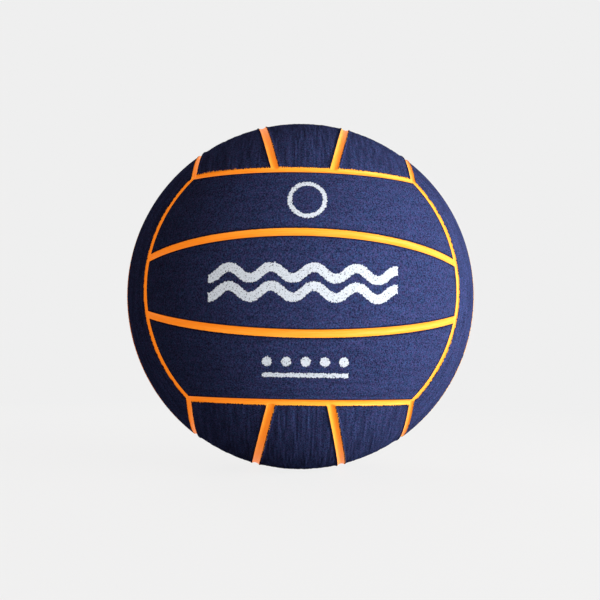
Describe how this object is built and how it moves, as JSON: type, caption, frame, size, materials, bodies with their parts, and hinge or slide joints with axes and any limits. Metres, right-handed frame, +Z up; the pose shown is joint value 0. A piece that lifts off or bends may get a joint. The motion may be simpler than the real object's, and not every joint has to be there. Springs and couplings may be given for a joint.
{
  "type": "water polo ball",
  "caption": "Small inflated water polo ball with navy grip-textured rubber cover panels, recessed orange seam channels and a needle valve in one panel.",
  "frame": {"origin": "centre of the ball", "axes": "+Z up, -Y toward the face of three level panels that the player sees first, +Y along the needle valve in the middle of the opposite face, +X to the right of the first face"},
  "size_m": [0.172, 0.1719, 0.172],
  "materials": {
    "cover_rubber": "matt moulded rubber with fine grip ribs",
    "channel_rubber": "smooth satin rubber",
    "nylon_thread": "thread wound in many directions and set in latex",
    "butyl_rubber": "smooth, slightly glossy",
    "patch_rubber": "matt",
    "valve_rubber": "smooth moulded rubber",
    "plug_rubber": "soft, matt"
  },
  "bodies": {
    "root": {"front_lower_panel": "cover_rubber", "front_middle_panel": "cover_rubber", "front_upper_panel": "cover_rubber", "back_lower_panel": "cover_rubber", "back_middle_panel": "cover_rubber", "back_upper_panel": "cover_rubber", "left_front_panel": "cover_rubber", "left_middle_panel": "cover_rubber", "left_back_panel": "cover_rubber", "right_front_panel": "cover_rubber", "right_middle_panel": "cover_rubber", "right_back_panel": "cover_rubber", "top_left_panel": "cover_rubber", "top_middle_panel": "cover_rubber", "top_right_panel": "cover_rubber", "bottom_left_panel": "cover_rubber", "bottom_middle_panel": "cover_rubber", "bottom_right_panel": "cover_rubber", "carcass": "channel_rubber", "thread_winding": "nylon_thread", "bladder": "butyl_rubber", "valve_patch": "patch_rubber", "valve_body": "valve_rubber", "valve_plug": "plug_rubber"}
  },
  "joints": []
}
